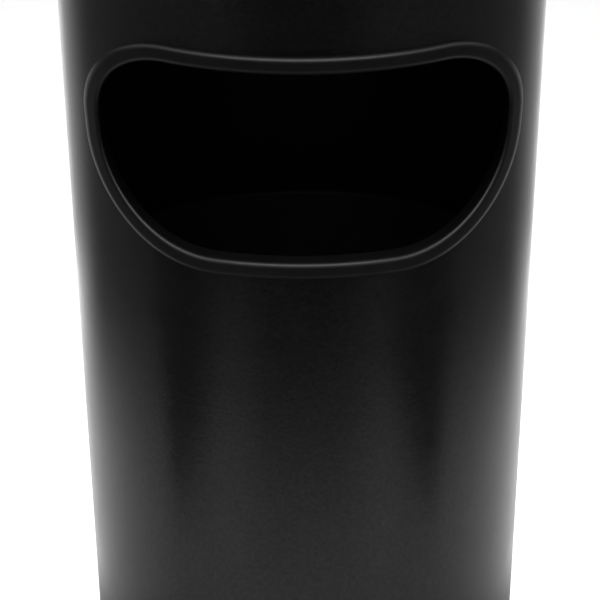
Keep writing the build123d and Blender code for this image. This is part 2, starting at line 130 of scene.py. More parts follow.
LINER_BOTTOM, LINER_TOP = (corner.z for corner in box_mm("liner_wall"))
LINER_TOP_RADIUS = 104.0
LINER_BOTTOM_RADIUS = 98.0
LINER_SHEET = 1.0
LINER_BEAD = 3.0
LINER_SWAGE = 1.2
LINER_SWAGE_WIDTH = 4.0
LINER_SWAGE_HEIGHTS = (130.0, 290.0)
LINER_LAP = 0.45
LINER_LAP_HALF_WIDTH = 11.0
LINER_LAP_SLOPE = 3
LINER_GROOVE_SHARE = 0.62  # the floor's groove, as a share of its radius
LINER_GROOVE_HALF_WIDTH = 3
LINER_GROOVE = 1.6
PIVOT_HEIGHT = 370.0
STORED_ANGLE = math.radians(22.0)
EAR_RIVET_OFFSET = 11.5
EAR_SHEET = 2.0
WIRE_RADIUS = 2.5
WIRE_START = 106.0
WIRE_TIP_SHARE = 0.75  # the chamfered tip's radius, as a share of the wire's
WIRE_TIP = 0.6
BAIL_HALF_WIDTH = 118.0
BAIL_SHOULDER = 60.0
BAIL_REACH = 121.0
BAIL_CROSS_HALF = 50.0
GRIP_RADIUS = 8.0
GRIP_HALF_LENGTH = 33.0
GRIP_END = 3
GRIP_END_STEP = 1.6
GRIP_RIBS = 9
GRIP_RIB_PITCH = 6.0
GRIP_RIB_DEPTH = 0.9
GRIP_RIB_HALF_TOP = 1.6
GRIP_RIB_HALF_FOOT = 0.7

COLLAR_SHEET = 3.0
COLLAR_CROWN_RADIUS = 142.0
RING_RADIUS = 144.5
RING_SHEET = 2.0
GASKET_HEIGHT = box_mm("collar_gasket")[0].z
GASKET_THICKNESS = 2.0
GASKET_GROOVE = 0.7
GASKET_GROOVE_HALF_WIDTH = 1.0
BOWL_SEAT = 636.0
BOWL_SEAT_RADIUS = 122.0
BOWL_OPENING_RADIUS = 111.0
BOWL_SHEET = 1.2
BOWL_RADIUS = 108.0
BOWL_LEDGE = 621.0
BOWL_LEDGE_RADIUS = 101.0
BOWL_FLOOR_RADIUS = 84.0
BOWL_DISH = 1.0
BOWL_DISH_SHARE = 0.8  # the dish's radius, as a share of the floor's
STUBBER_INNER_RADIUS = 15.0
STUBBER_RIDGES = 5
STUBBER_RIDGE = 2.0
STUBBER_RIDGE_ROUNDED_OFF = 0.25
KNOB_RADIUS = 11.0
KNOB_NECK_RADIUS = 6.0
KNOB_HEAD = 5.0
KNOB_FOOT = 2.0
KNOB_FLARE = 3.0
KNOB_CENTRE_RADIUS = 3.0
KNOB_CENTRE = 0.5
KNOB_FLUTES = 12
KNOB_FLUTE = 0.7
KNOB_TOP_OVER_STUD = 4.0
STUD_RADIUS = 3.0
THREAD_PITCH = 1.0
THREAD_DEPTH = 0.35
THREAD_CHAMFER = 0.6
THREAD_RUN_OUT = 0.5


def shell_radius(height):
    """Outside radius of the shell at a height."""
    return SHELL_TOP_RADIUS - TAPER * (SHELL_TOP - height)


# --- Outlines ---------------------------------------------------------------------------------------------
def rounded(corners, steps=6, closed=True):
    """An outline whose corners are turned into arcs. A corner is (x, y) or (x, y, radius)."""
    points = []
    last = len(corners) - 1
    for i, corner in enumerate(corners):
        here = Vector(corner[:2])
        if len(corner) < 3 or (not closed and i in (0, last)):
            points.append(here)
            continue
        before = (Vector(corners[i - 1][:2]) - here).normalized()
        after = (Vector(corners[(i + 1) % len(corners)][:2]) - here).normalized()
        half = before.angle(after) / 2
        centre = here + (before + after).normalized() * corner[2] / math.sin(half)
        spoke = here + before * corner[2] / math.tan(half) - centre
        turn = math.copysign(math.pi - 2 * half, before.y * after.x - before.x * after.y)
        for k in range(steps + 1):
            points.append(centre + Matrix.Rotation(turn * k / steps, 2) @ spoke)
    return points


def evenly(points, count):
    """Points spaced evenly along a closed outline."""
    ends = points[1:] + points[:1]
    lengths = [(b - a).length for a, b in zip(points, ends)]
    step = sum(lengths) / count
    even, travelled, want = [], 0.0, 0.0
    for a, b, length in zip(points, ends, lengths):
        while want < travelled + length and len(even) < count:
            even.append(a.lerp(b, (want - travelled) / length))
            want += step
        travelled += length
    return even


def opening_outline(count):
    """The litter opening seen from the front: (x, z) points, and the outward direction at each."""
    low = OPENING_BOTTOM + OPENING_BOTTOM_SAG
    corners = [
        (OPENING_TOP_HALF_WIDTH, OPENING_TOP, OPENING_TOP_CORNER),
        (-OPENING_TOP_HALF_WIDTH, OPENING_TOP, OPENING_TOP_CORNER),
        (-OPENING_BOTTOM_HALF_WIDTH, low, OPENING_BOTTOM_CORNER),
        (OPENING_BOTTOM_HALF_WIDTH, low, OPENING_BOTTOM_CORNER),
    ]
    points = evenly(rounded(corners, steps=48), count)
    middle = (OPENING_TOP + low) / 2
    for p in points:
        away = abs(p.y - middle) / (OPENING_TOP - middle)
        share = away * away * (3 - 2 * away)
        if p.y > middle:
            p.y -= OPENING_TOP_DIP * share * (1 - (p.x / OPENING_TOP_HALF_WIDTH) ** 2)
        else:
            p.y -= OPENING_BOTTOM_SAG * share * (1 - (p.x / OPENING_BOTTOM_HALF_WIDTH) ** 2)
    normals = []
    for i in range(count):
        along = points[(i + 1) % count] - points[i - 1]
        normals.append(Vector((along.y, -along.x)).normalized())
    return points, normals


# --- Mesh building ----------------------------------------------------------------------------------------
def to_object(name, mesh, sharp=40.0):
    """A smooth-shaded object in metres from a bmesh in millimetres. Edges steeper than sharp stay sharp."""
    bmesh.ops.remove_doubles(mesh, verts=mesh.verts, dist=TINY)
    bmesh.ops.recalc_face_normals(mesh, faces=mesh.faces)
    data = bpy.data.meshes.new(name)
    mesh.to_mesh(data)
    mesh.free()
    data.transform(Matrix.Scale(MM, 4))
    data.shade_smooth()
    data.set_sharp_from_angle(angle=math.radians(sharp))
    piece = bpy.data.objects.new(name, data)
    bpy.context.scene.collection.objects.link(piece)
    return crisp(piece)


def skin(mesh, rows, wrap_rows=True, wrap_columns=True):
    """Faces between neighbouring rows of vertices. A row of one repeated vertex is a pole."""
    followers = rows[1:] + rows[:1] if wrap_rows else rows[1:]
    count = len(rows[0])
    for low, high in zip(rows, followers):
        for k in range(count if wrap_columns else count - 1):
            n = (k + 1) % count
            corners = list(dict.fromkeys([low[k], low[n], high[n], high[k]]))
            if len(corners) > 2:
                mesh.faces.new(corners)


def turned(outline, steps=144, ripple=None):
    """A bmesh turned about Z from a closed (radius, height) outline. ripple changes a radius by angle."""
    mesh = bmesh.new()
    rows = []
    for radius, height in outline:
        if radius < TINY:
            rows.append([mesh.verts.new((0, 0, height))] * steps)
            continue
        row = []
        for k in range(steps):
            angle = 2 * math.pi * k / steps
            r = ripple(radius, height, angle) if ripple else radius
            row.append(mesh.verts.new((r * math.cos(angle), r * math.sin(angle), height)))
        rows.append(row)
    skin(mesh, rows)
    return mesh


def copies(mesh, places):
    """A bmesh with one copy of a mesh at each place, which is a matrix in millimetres."""
    base = bpy.data.meshes.new("base")
    mesh.to_mesh(base)
    mesh.free()
    group = bmesh.new()
    for place in places:
        before = len(group.verts)
        group.from_mesh(base)
        group.verts.ensure_lookup_table()
        bmesh.ops.transform(group, matrix=place, verts=group.verts[before:])
    bpy.data.meshes.remove(base)
    return group


def around(count, start, radius=0.0, height=0.0):
    """Matrices evenly spaced about Z. Local +X points outwards."""
    out = Matrix.Translation((radius, 0, height))
    return [Matrix.Rotation(math.radians(start + 360.0 * i / count), 4, "Z") @ out for i in range(count)]


def applied(piece):
    """Applies the piece's modifiers."""
    evaluated = piece.evaluated_get(bpy.context.evaluated_depsgraph_get())
    data = bpy.data.meshes.new_from_object(evaluated)
    piece.modifiers.clear()
    piece.data = data
    return piece


def crisp(piece):
    """Weights the piece's normals by area, so that flat faces stay flat beside rounded corners."""
    modifier = piece.modifiers.new("weighted", "WEIGHTED_NORMAL")
    modifier.keep_sharp = True
    return applied(piece)


def cut(piece, cutter):
    """Takes the cutter out of the piece."""
    modifier = piece.modifiers.new("cut", "BOOLEAN")
    modifier.object = cutter
    modifier.operation = "DIFFERENCE"
    modifier.solver = "EXACT"
    applied(piece)
    bpy.data.objects.remove(cutter)
    return piece


def softened(node, name, bevel, sharp=35.0):
    """A copy of a CAD node with its flat faces joined up and its sharp edges rounded, in millimetres."""
    mesh = bmesh.new()
    mesh.from_mesh(frame["nodes"][node].data)
    bmesh.ops.remove_doubles(mesh, verts=mesh.verts, dist=TINY)
    bmesh.ops.dissolve_limit(mesh, angle_limit=math.radians(0.5), verts=mesh.verts, edges=mesh.edges)
    data = bpy.data.meshes.new(name)
    mesh.to_mesh(data)
    mesh.free()
    data.materials.clear()
    piece = bpy.data.objects.new(name, data)
    bpy.context.scene.collection.objects.link(piece)
    modifier = piece.modifiers.new("bevel", "BEVEL")
    modifier.width = bevel * MM
    modifier.segments = 2
    modifier.limit_method = "ANGLE"
    modifier.angle_limit = math.radians(sharp)
    applied(piece)
    piece.data.shade_smooth()
    piece.data.set_sharp_from_angle(angle=math.radians(sharp))
    return crisp(piece)


# --- Finishes ---------------------------------------------------------------------------------------------
class Finish:
    """A procedural material: a Principled shader fed by textures in the object's own coordinates."""

    def __init__(self, name, **uniform):
        self.material = bpy.data.materials.new(name)
        self.material.use_nodes = True
        self.tree = self.material.node_tree
        self.shader = self.tree.nodes["Principled BSDF"]
        self.place = self.add("TexCoord").outputs["Object"]
        self.normal = None
        for socket, value in uniform.items():
            self.shader.inputs[socket.replace("_", " ")].default_value = value

    def add(self, kind, inputs=None, **settings):
        node = self.tree.nodes.new("ShaderNode" + kind)
        for name, value in settings.items():
            setattr(node, name, value)
        for name, value in (inputs or {}).items():
            if isinstance(value, bpy.types.NodeSocket):
                self.tree.links.new(value, node.inputs[name])
            else:
                node.inputs[name].default_value = value
        return node

    def stretched(self, stretch):
        return self.add("Mapping", {"Vector": self.place, "Scale": stretch}).outputs["Vector"]

    def noise(self, size, detail=3.0, stretch=(1, 1, 1)):
        """Noise with features of about a size in millimetres, drawn out along the axes with a low stretch."""
        inputs = {"Vector": self.stretched(stretch), "Scale": 1 / (size * MM), "Detail": detail}
        return self.add("TexNoise", inputs).outputs["Fac"]

    def cells(self, size):
        """Distance to the middle of cells of about a size in millimetres."""
        inputs = {"Vector": self.place, "Scale": 1 / (size * MM)}
        return self.add("TexVoronoi", inputs).outputs["Distance"]

    def radial(self, size, detail=2.0):
        """Fine rings about Z, as a lathe or a polishing wheel leaves them."""
        split = self.add("SeparateXYZ", {"Vector": self.place})
        flat = self.add("CombineXYZ", {"X": split.outputs["X"], "Y": split.outputs["Y"]})
        length = self.add("VectorMath", {"Vector": flat.outputs["Vector"]}, operation="LENGTH")
        line = self.add("CombineXYZ", {"X": length.outputs["Value"], "Y": split.outputs["Z"]})
        inputs = {"Vector": line.outputs["Vector"], "Scale": 1 / (size * MM), "Detail": detail}
        return self.add("TexNoise", inputs).outputs["Fac"]

    def height(self, low, high):
        """0 below one height in millimetres, 1 above another."""
        z = self.add("SeparateXYZ", {"Vector": self.place}).outputs["Z"]
        return self.span(z, 0.0, 1.0, low * MM, high * MM)

    def span(self, value, low, high, start=0.3, end=0.7):
        """Maps a value from start..end to low..high."""
        inputs = {"Value": value, "From Min": start, "From Max": end, "To Min": low, "To Max": high}
        return self.add("MapRange", inputs).outputs["Result"]

    def calc(self, operation, *values):
        return self.add("Math", dict(enumerate(values)), operation=operation).outputs["Value"]

    def times(self, a, b):
        return self.calc("MULTIPLY", a, b)

    def smooth(self, value, low, high, start, end):
        """Eases from low to high while a value goes from start to end."""
        inputs = {"Value": value, "From Min": start, "From Max": end, "To Min": low, "To Max": high}
        return self.add("MapRange", inputs, interpolation_type="SMOOTHSTEP").outputs["Result"]

    def color(self, value, dark, light, start=0.3, end=0.7):
        ramp = self.add("ValToRGB", {"Fac": value})
        first, last = ramp.color_ramp.elements
        first.position, last.position = start, end
        first.color, last.color = (*dark, 1.0), (*light, 1.0)
        self.tree.links.new(ramp.outputs["Color"], self.shader.inputs["Base Color"])
        return self

    def roughness(self, value, low, high, start=0.3, end=0.7):
        self.tree.links.new(self.span(value, low, high, start, end), self.shader.inputs["Roughness"])
        return self

    def bump(self, value, depth, strength=1.0):
        """Raises the surface by up to a depth in millimetres. Later calls add to earlier ones."""
        node = self.add("Bump", {"Height": value, "Distance": depth * MM, "Strength": strength})
        if self.normal:
            self.tree.links.new(self.normal, node.inputs["Normal"])
        self.normal = node.outputs["Normal"]
        self.tree.links.new(self.normal, self.shader.inputs["Normal"])
        return self


def powder_coat():
    """Black semi-gloss powder coat: a fine grain over a soft orange peel."""
    f = Finish("black_powder_coat")
    grain = f.noise(2.2, 1.0)
    f.color(grain, (0.0028, 0.0026, 0.003), (0.0047, 0.0044, 0.005))
    f.tree.links.new(f.span(grain, 0.46, 0.54), f.shader.inputs["Specular IOR Level"])
    f.roughness(f.noise(24.0), 0.2, 0.24)
    f.bump(f.noise(7.0, 1.0), 0.05, 0.3)
    f.bump(grain, 0.028, 1.0)
    f.bump(f.noise(0.9, 2.0), 0.02, 0.6)
    return f.material


def trim_rubber():
    """Smooth moulded rubber with a satin skin."""
    f = Finish("black_rubber_trim", Specular_IOR_Level=0.22)
    f.color(f.noise(12.0), (0.0024, 0.0023, 0.0026), (0.0036, 0.0035, 0.0038))
    f.roughness(f.noise(5.0), 0.39, 0.44)
    f.bump(f.noise(0.7, 2.0), 0.02, 0.3)
    return f.material


def foot_rubber():
    """Matt rubber with a little dust low down."""
    f = Finish("black_rubber_foot", Specular_IOR_Level=0.35)
    dust = f.times(f.noise(9.0, 6.0), f.height(9.0, 0.0))
    f.color(dust, (0.012, 0.012, 0.012), (0.06, 0.056, 0.05), 0.2, 0.8)
    f.roughness(f.noise(3.0), 0.6, 0.8)
    f.bump(f.noise(0.5, 2.0), 0.05, 0.5)
    return f.material


def soft_rubber():
    f = Finish("grey_rubber", Specular_IOR_Level=0.3)
    f.color(f.noise(6.0), (0.04, 0.04, 0.042), (0.06, 0.06, 0.062))
    f.roughness(f.noise(2.0), 0.65, 0.8)
    f.bump(f.noise(0.4), 0.04, 0.5)
    return f.material


def zinc_plate():
    """Bright zinc plating with faint blotches and draw marks."""
    f = Finish("zinc_plated_steel", Metallic=1.0)
    f.color(f.noise(14.0, 4.0), (0.46, 0.47, 0.5), (0.62, 0.62, 0.64))
    f.roughness(f.noise(5.0, 4.0), 0.3, 0.45)
    f.bump(f.noise(1.2, 2.0, (1, 1, 0.1)), 0.02, 0.4)
    return f.material


def black_enamel():
    """The liner's dark enamel, rubbed and scuffed inside by litter."""
    f = Finish("black_liner_enamel", Specular_IOR_Level=0.25)
    f.color(f.noise(30.0, 6.0), (0.004, 0.004, 0.0044), (0.008, 0.008, 0.0084))
    f.roughness(f.noise(8.0, 5.0, (1, 1, 0.2)), 0.5, 0.65)
    f.bump(f.noise(1.5), 0.04, 0.4)
    return f.material


def bright_rivet():
    f = Finish("bright_rivet", Metallic=1.0)
    f.color(f.noise(1.5), (0.6, 0.6, 0.62), (0.72, 0.72, 0.73))
    f.roughness(f.noise(0.8), 0.25, 0.4)
    f.bump(f.noise(0.6), 0.02, 0.4)
    return f.material


def steel_wire():
    f = Finish("steel_wire", Metallic=1.0)
    f.color(f.noise(4.0, 3.0), (0.42, 0.43, 0.45), (0.58, 0.58, 0.6))
    f.roughness(f.noise(2.0), 0.22, 0.36)
    f.bump(f.noise(0.5, 2.0), 0.015, 0.4)
    return f.material


def black_plastic():
    """Moulded plastic with a fine spark-eroded texture."""
    f = Finish("black_plastic", Specular_IOR_Level=0.45)
    f.color(f.noise(5.0), (0.01, 0.01, 0.011), (0.016, 0.016, 0.017))
    f.roughness(f.noise(1.0), 0.38, 0.5)
    f.bump(f.cells(0.5), 0.04, 0.4)
    return f.material


def brushed_stainless():
    """Stainless steel polished in rings, its tone varying in soft patches."""
    f = Finish("brushed_stainless", Metallic=1.0)
    f.color(f.noise(22.0, 6.0), (0.33, 0.325, 0.315), (0.47, 0.47, 0.46))
    f.roughness(f.radial(0.5, 4.0), 0.3, 0.46)
    f.bump(f.radial(0.25, 3.0), 0.015, 0.6)
    return f.material


def cast_stubber():
    """Dark casting whose ridges are rubbed bright and smudged with ash."""
    f = Finish("cast_stubber", Metallic=0.85)
    low, high = box_mm("stubber_ring")
    rubbed = f.times(f.height(high.z - 2.2, high.z - 0.4), f.span(f.noise(3.0, 4.0), 0.5, 1.0))
    f.color(rubbed, (0.05, 0.05, 0.052), (0.34, 0.34, 0.33), 0.2, 0.9)
    f.roughness(f.noise(1.5, 4.0), 0.4, 0.65)
    f.bump(f.noise(0.8, 3.0), 0.08, 0.5)
    return f.material


FINISHES = {
    "black_powder_coat": powder_coat(),
    "black_rubber_trim": trim_rubber(),
    "black_rubber_foot": foot_rubber(),
    "grey_rubber": soft_rubber(),
    "zinc_plated_steel": zinc_plate(),
    "black_liner_enamel": black_enamel(),
    "bright_rivet": bright_rivet(),
    "steel_wire": steel_wire(),
    "black_plastic": black_plastic(),
    "brushed_stainless": brushed_stainless(),
    "cast_stubber": cast_stubber(),
}
SLOT_OF = {part["node"]: part["material_slot"] for part in frame["record"]["subparts"]}
BODY_OF = {node: body for body, nodes in frame["record"]["behaviour"]["bodies"].items() for node in nodes}


def stand_for(piece, *nodes):
    """The piece takes the place, the body, the slot and the finish of CAD nodes."""
    belongs_with(piece, nodes[0])
    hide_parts(*nodes)


def belongs_with(piece, node):
    """The piece rides with a CAD node and has its finish."""
    piece.data.materials.clear()
    piece.data.materials.append(FINISHES[SLOT_OF[node]])
    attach(piece, BODY_OF[node])


# --- Shell and trim ---------------------------------------------------------------------------------------
def opening_cutter(margin):
    """A solid through the front of the shell with the opening's outline, grown by a margin."""
    points, normals = opening_outline(260)
    outline = [p + n * margin for p, n in zip(points, normals)]
    mesh = bmesh.new()
    rows = []
    for y in (-0.3 * SHELL_TOP_RADIUS, -1.2 * SHELL_TOP_RADIUS):
        rows.append([mesh.verts.new((p.x, y, p.y)) for p in outline])
    skin(mesh, rows, wrap_rows=False)
    for row in rows:
        mesh.faces.new(row)
    return to_object("opening_cutter", mesh)


def outer_shell():
    """The tapered sheet. Its normals are set from the cone, so that reflections run smoothly past the cut."""
    columns, rows = 240, 48
    heights = [SHELL_BOTTOM + (SHELL_TOP - SHELL_BOTTOM) * i / rows for i in range(rows + 1)]
    outline = [(shell_radius(z), z) for z in heights]
    outline += [(shell_radius(z) - SHEET, z) for z in reversed(heights)]
    shell = to_object("tapered_shell", turned(outline, columns))
    cut(shell, opening_cutter(TRIM_WALL + TRIM_EDGE_GAP))
    data = shell.data
    data.shade_smooth()
    normals = [Vector()] * len(data.loops)
    for face in data.polygons:
        spoke = Vector((face.center.x, face.center.y, 0)).normalized()
        facing = face.normal.dot(spoke)
        on_the_cone = abs(facing) > 0.9
        for loop in face.loop_indices:
            spot = data.vertices[data.loops[loop].vertex_index].co
            normal = Vector((spot.x, spot.y, 0)).normalized() - Vector((0, 0, TAPER))
            normals[loop] = normal.normalized() * math.copysign(1, facing) if on_the_cone else face.normal
    data.normals_split_custom_set(normals)
    stand_for(shell, "outer_shell")


def aperture_trim():
    """The moulding, swept round the opening: a face outside, a throat through the sheet, a lip behind it."""
    behind = -SHEET - FIT_GAP
    section = rounded(
        [
            (0, -SHEET - TRIM_DEPTH, 1.2),
            (0, TRIM_PROUD, 3.6),
            (TRIM_FACE, TRIM_PROUD, 3.0),
            (TRIM_FACE, FIT_GAP),
            (TRIM_WALL, FIT_GAP),
            (TRIM_WALL, behind),
            (TRIM_LIP, behind),
            (TRIM_LIP, behind - TRIM_LIP_THICKNESS, 1.0),
            (TRIM_WALL, behind - TRIM_LIP_THICKNESS),
            (TRIM_WALL, -SHEET - TRIM_DEPTH, 1.2),
        ],
        steps=10,
    )
    points, normals = opening_outline(360)
    mesh = bmesh.new()
    rows = []
    for across, off in section:
        row = []
        for p, n in zip(points, normals):
            x, z = p.x + n.x * across, p.y + n.y * across
            radius = shell_radius(z) + off
            row.append(mesh.verts.new((x, -math.sqrt(radius**2 - x**2), z)))
        rows.append(row)
    skin(mesh, rows)
    stand_for(to_object("opening_trim", mesh), "aperture_trim")


def lathe(node, name, outline, steps=144, ripple=None, arc_steps=6, sharp=40.0):
    """A piece turned about Z, with its corners rounded, that stands for a CAD node."""
    stand_for(to_object(name, turned(rounded(outline, arc_steps), steps, ripple), sharp), node)


def rear_seam():
    """The shell's ground weld: a low, slightly uneven bead up the middle of the back."""
    steps, half_columns = 60, 3
    low = FOOT_HEIGHT + 1.0
    mesh = bmesh.new()
    rows = []
    for i in range(steps + 1):
        z = low + (SEAM_TOP - low) * i / steps
        swell = 1.0 + sum(share * math.sin(i * pace) for share, pace in SEAM_SWELLS)
        row = []
        for k in range(2 * half_columns + 1):
            aside = -1 + k / half_columns
            x = aside * SEAM_WIDTH / 2 * swell
            radius = shell_radius(z) - SEAM_SUNK + SEAM_HEIGHT * (1 - aside * aside)
            row.append(mesh.verts.new((x, math.sqrt(radius**2 - x * x), z)))
        rows.append(row)
    skin(mesh, rows, wrap_rows=False, wrap_columns=False)
    belongs_with(to_object("rear_seam", mesh, 60.0), "outer_shell")


# --- Foot and base ----------------------------------------------------------------------------------------
def foot_ring():
    """The rubber foot, with two moulded grooves round its outside."""
    inside, outside = -SHEET - FIT_GAP, FIT_GAP
    leg_top = PAN_BOTTOM - FIT_GAP

    def wall(z):
        return shell_radius(z) + outside + FOOT_WALL

    outline = [(shell_radius(0) + inside - FOOT_WALL, 0, 0.8), (wall(0), 0, 1.4)]
    for z in (FOOT_HEIGHT / 3, 2 * FOOT_HEIGHT / 3):
        outline.append((wall(z), z - FOOT_GROOVE, 0.3))
        outline.append((wall(z) - FOOT_GROOVE, z, 0.3))
        outline.append((wall(z), z + FOOT_GROOVE, 0.3))
    outline += [
        (wall(FOOT_HEIGHT), FOOT_HEIGHT, 1.4),
        (shell_radius(FOOT_HEIGHT) + outside, FOOT_HEIGHT, 0.4),
        (shell_radius(SHELL_BOTTOM) + outside, SHELL_BOTTOM),
        (shell_radius(SHELL_BOTTOM) + inside, SHELL_BOTTOM),
        (shell_radius(leg_top) + inside, leg_top, 0.4),
        (shell_radius(leg_top) + inside - FOOT_WALL, leg_top, 0.8),
    ]
    lathe("foot_ring", "foot_moulding", outline)


def blind_rivet(grip):
    """A rivet along +X: its shank crosses the grip from zero, a dimpled dome outside, a set tail inside."""
    top = grip + RIVET_HEAD
    outline = [
        (0, -RIVET_HEAD),
        (RIVET_TAIL_TIP_RADIUS, -RIVET_HEAD, 0.5),
        (RIVET_TAIL_RADIUS - 0.2, -RIVET_HEAD / 2, 0.6),
        (RIVET_TAIL_RADIUS, 0),
        (RIVET_RADIUS, 0),
        (RIVET_RADIUS, grip),
        (RIVET_HEAD_RADIUS, grip),
        (RIVET_HEAD_RADIUS - 0.4, grip + RIVET_RIM, 0.5),
        (RIVET_CROWN_RADIUS, top - 0.15, 1.0),
        (RIVET_DIMPLE_RADIUS, top, 0.2),
        (RIVET_DIMPLE_RADIUS - 0.2, top - RIVET_DIMPLE, 0.1),
        (0, top - RIVET_DIMPLE),
    ]
    mesh = turned(rounded(outline, 4), 28)
    bmesh.ops.transform(mesh, matrix=Matrix.Rotation(math.pi / 2, 4, "Y"), verts=mesh.verts)
    return mesh


def base_rivets():
    start = shell_radius(BASE_RIVET_HEIGHT) - SHEET - FIT_GAP - PAN_SHEET - RIVET_STAND_OFF
    grip = PAN_SHEET + FIT_GAP + SHEET + 2 * RIVET_STAND_OFF
    places = around(8, 22.5, start, BASE_RIVET_HEIGHT)
    stand_for(to_object("base_blind_rivets", copies(blind_rivet(grip), places)), "base_rivets")


def liner_pads():
    """Rubber buttons with a dished top."""
    top = box_mm("liner_pads")[1].z
    outline = [
        (0, PAN_TOP),
        (PAD_RADIUS, PAN_TOP),
        (PAD_RADIUS, top, 1.5),
        (PAD_RADIUS - PAD_RIM, top, 0.4),
        (PAD_RADIUS - PAD_RIM - 1.0, top - PAD_DISH, 0.4),
        (0, top - PAD_DISH),
    ]
    pads = copies(turned(rounded(outline), 40), around(3, 90, PAD_PLACE))
    stand_for(to_object("rubber_buttons", pads), "liner_pads")


# --- Liner ------------------------------------------------------------------------------------------------
def liner_radius(height):
    """Outside radius of the liner's wall at a height."""
    share = (height - LINER_BOTTOM) / (LINER_TOP - LINER_BOTTOM)
    return LINER_BOTTOM_RADIUS + share * (LINER_TOP_RADIUS - LINER_BOTTOM_RADIUS)


def liner_wall():
    """The liner's wall: a rolled rim, two swaged beads and a lapped seam at the back."""
    rows, roll_steps, roll_turn = 120, 26, 12
    bead = LINER_TOP - LINER_BEAD
    centre = liner_radius(bead) - LINER_SHEET + LINER_BEAD
    heights = [LINER_BOTTOM + (bead - LINER_BOTTOM) * i / rows for i in range(rows + 1)]

    def swage(z):
        away = [(z - at) / LINER_SWAGE_WIDTH for at in LINER_SWAGE_HEIGHTS]
        return sum(LINER_SWAGE * math.exp(-(share**2)) for share in away)

    def lap(radius, z, angle):
        if radius <= liner_radius(z) + swage(z) - LINER_SHEET / 2 or z >= bead - 2 * LINER_BEAD:
            return radius
        aside = abs(angle - math.pi / 2) * radius
        return radius + LINER_LAP * max(0.0, min(1.0, (LINER_LAP_HALF_WIDTH - aside) / LINER_LAP_SLOPE))

    outline = [(liner_radius(z) - LINER_SHEET + swage(z), z) for z in heights]
    for k in range(1, roll_steps + 1):
        angle = math.radians(180 - k * roll_turn)
        outline.append((centre + LINER_BEAD * math.cos(angle), bead + LINER_BEAD * math.sin(angle)))
    outline += [(liner_radius(z) + swage(z), z) for z in reversed(heights[:-1])]
    stand_for(to_object("swaged_wall", turned(outline, 180, lap)), "liner_wall")


def liner_base():
    """The liner's pressed floor, with a stiffening groove."""
    low, high = box_mm("liner_base")
    rim, over, under = high.x, high.z, high.z - LINER_SHEET
    groove = LINER_GROOVE_SHARE * rim
    inner, outer = groove - LINER_GROOVE_HALF_WIDTH, groove + LINER_GROOVE_HALF_WIDTH
    outline = [
        (0, under),
        (inner, under, 1.0),
        (groove, under - LINER_GROOVE, 1.0),
        (outer, under, 1.0),
        (rim - LINER_SHEET, under, 1.0),
        (rim - LINER_SHEET, low.z),
        (rim, low.z, 0.3),
        (rim, over, 1.8),
        (outer, over, 1.0),
        (groove, over - LINER_GROOVE, 1.0),
        (inner, over, 1.0),
        (0, over),
    ]
    lathe("liner_base", "pressed_floor", outline)


def ear_rivets(side, angle):
    start = liner_radius(PIVOT_HEIGHT) - LINER_SHEET
    aside = math.degrees(EAR_RIVET_OFFSET / start)
    grip = LINER_SHEET + EAR_SHEET + 2 * RIVET_STAND_OFF
    places = []
    for turn in (-aside, aside):
        places += around(1, angle + turn, start - RIVET_STAND_OFF, PIVOT_HEIGHT)
    stand_for(to_object("ear_blind_rivets_" + side, copies(blind_rivet(grip), places)), "ear_rivets_" + side)


# --- Handle -----------------------------------------------------------------------------------------------
STORED_HANDLE = Matrix.Translation((0, 0, PIVOT_HEIGHT)) @ Matrix.Rotation(-STORED_ANGLE, 4, "X")


def bail_handle():
    """The bent wire, in the handle's own plane and then laid back as it is stored."""
    right = [
        (WIRE_START, 0),
        (BAIL_HALF_WIDTH, 0, 5.0),
        (BAIL_HALF_WIDTH, BAIL_SHOULDER, 60.0),
        (BAIL_CROSS_HALF, BAIL_REACH, 36.0),
    ]
    left = [(-corner[0], *corner[1:]) for corner in reversed(right)]
    path = rounded(right + left, 16, closed=False)
    last = len(path) - 1
    stations = [(0, WIRE_TIP_SHARE, 0.0), (0, 1.0, WIRE_TIP)]
    stations += [(i, 1.0, 0.0) for i in range(1, last)]
    stations += [(last, 1.0, -WIRE_TIP), (last, WIRE_TIP_SHARE, 0.0)]
    sides = 20
    mesh = bmesh.new()
    rows = []
    for i, share, onwards in stations:
        along = (path[min(i + 1, last)] - path[max(i - 1, 0)]).normalized()
        side = Vector((-along.y, along.x))
        spot = path[i] + along * onwards
        radius = WIRE_RADIUS * share
        row = []
        for k in range(sides):
            angle = 2 * math.pi * k / sides
            flat = spot + side * (radius * math.cos(angle))
            row.append(mesh.verts.new((flat.x, flat.y, radius * math.sin(angle))))
        rows.append(row)
    skin(mesh, rows, wrap_rows=False)
    mesh.faces.new(rows[0])
    mesh.faces.new(rows[-1])
    bmesh.ops.transform(mesh, matrix=STORED_HANDLE, verts=mesh.verts)
    stand_for(to_object("bail_wire", mesh), "bail_handle")


